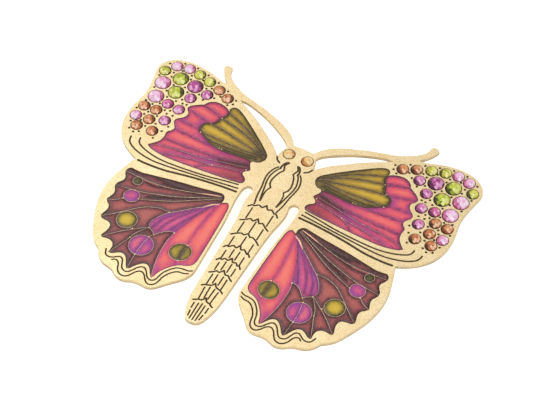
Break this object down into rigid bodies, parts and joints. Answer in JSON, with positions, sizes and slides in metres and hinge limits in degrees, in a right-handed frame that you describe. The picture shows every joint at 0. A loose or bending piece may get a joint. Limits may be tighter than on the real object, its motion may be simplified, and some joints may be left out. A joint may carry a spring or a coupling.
{
  "type": "brooch",
  "caption": "Flat butterfly brooch: etched brass plate with coloured enamel windows and small crystals, and a hinged pin with a safety catch on its back.",
  "frame": {"origin": "middle of the brooch seen from the front, at the underside of the pin finding it lies on", "axes": "+X across the wings to the viewer's right, +Y towards the head, +Z out of the decorated face"},
  "size_m": [0.0632, 0.051, 0.006],
  "materials": {
    "brass": "pale gold, fine sandblasted matt",
    "finding_brass": "polished pale gold",
    "olive_enamel": "translucent olive enamel, satin gloss",
    "rose_enamel": "translucent coral and magenta enamel, satin gloss",
    "plum_enamel": "translucent plum and coral enamel, satin gloss",
    "topaz": "foil-backed faceted crystal",
    "olive": "foil-backed faceted crystal",
    "pink": "foil-backed faceted crystal",
    "rose": "foil-backed faceted crystal",
    "amethyst": "foil-backed faceted crystal",
    "peridot": "foil-backed faceted crystal",
    "fuchsia": "foil-backed faceted crystal",
    "champagne": "foil-backed faceted crystal"
  },
  "bodies": {
    "root": {"wing_plate": "brass", "enamel_left_forewing_olive": "olive_enamel", "enamel_left_forewing_rose": "rose_enamel", "enamel_left_hindwing": "plum_enamel", "enamel_right_forewing_olive": "olive_enamel", "enamel_right_forewing_rose": "rose_enamel", "enamel_right_hindwing": "plum_enamel", "crystal_left_01": "topaz", "crystal_left_02": "topaz", "crystal_left_03": "olive", "crystal_left_04": "olive", "crystal_left_05": "pink", "crystal_left_06": "pink", "crystal_left_07": "olive", "crystal_left_08": "rose", "crystal_left_09": "amethyst", "crystal_left_10": "peridot", "crystal_left_11": "pink", "crystal_left_12": "rose", "crystal_left_13": "peridot", "crystal_left_14": "pink", "crystal_left_15": "rose", "crystal_left_16": "fuchsia", "crystal_left_17": "rose", "crystal_left_18": "topaz", "crystal_left_19": "topaz", "crystal_left_20": "topaz", "crystal_left_21": "pink", "crystal_left_22": "topaz", "crystal_left_23": "topaz", "eye_left": "champagne", "crystal_right_01": "topaz", "crystal_right_02": "topaz", "crystal_right_03": "olive", "crystal_right_04": "olive", "crystal_right_05": "pink", "crystal_right_06": "pink", "crystal_right_07": "olive", "crystal_right_08": "rose", "crystal_right_09": "amethyst", "crystal_right_10": "peridot", "crystal_right_11": "pink", "crystal_right_12": "rose", "crystal_right_13": "peridot", "crystal_right_14": "pink", "crystal_right_15": "rose", "crystal_right_16": "fuchsia", "crystal_right_17": "rose", "crystal_right_18": "topaz", "crystal_right_19": "topaz", "crystal_right_20": "topaz", "crystal_right_21": "pink", "crystal_right_22": "topaz", "crystal_right_23": "topaz", "eye_right": "champagne", "pin_bar": "finding_brass", "hinge_rivet": "finding_brass", "catch_housing": "finding_brass"},
    "stem": {"pin_stem": "finding_brass"},
    "sleeve": {"catch_sleeve": "finding_brass"}
  },
  "joints": [
    {"name": "pin_hinge", "type": "hinge", "parent": "root", "child": "stem", "pos_m": [-0.013, 0.007, 0.0015], "axis": [0, 1, 0], "range_deg": [0, 95]},
    {"name": "catch_turn", "type": "hinge", "parent": "root", "child": "sleeve", "pos_m": [0.013, 0.007, 0.0015], "axis": [-1, 0, 0], "range_deg": [0, 120]}
  ]
}
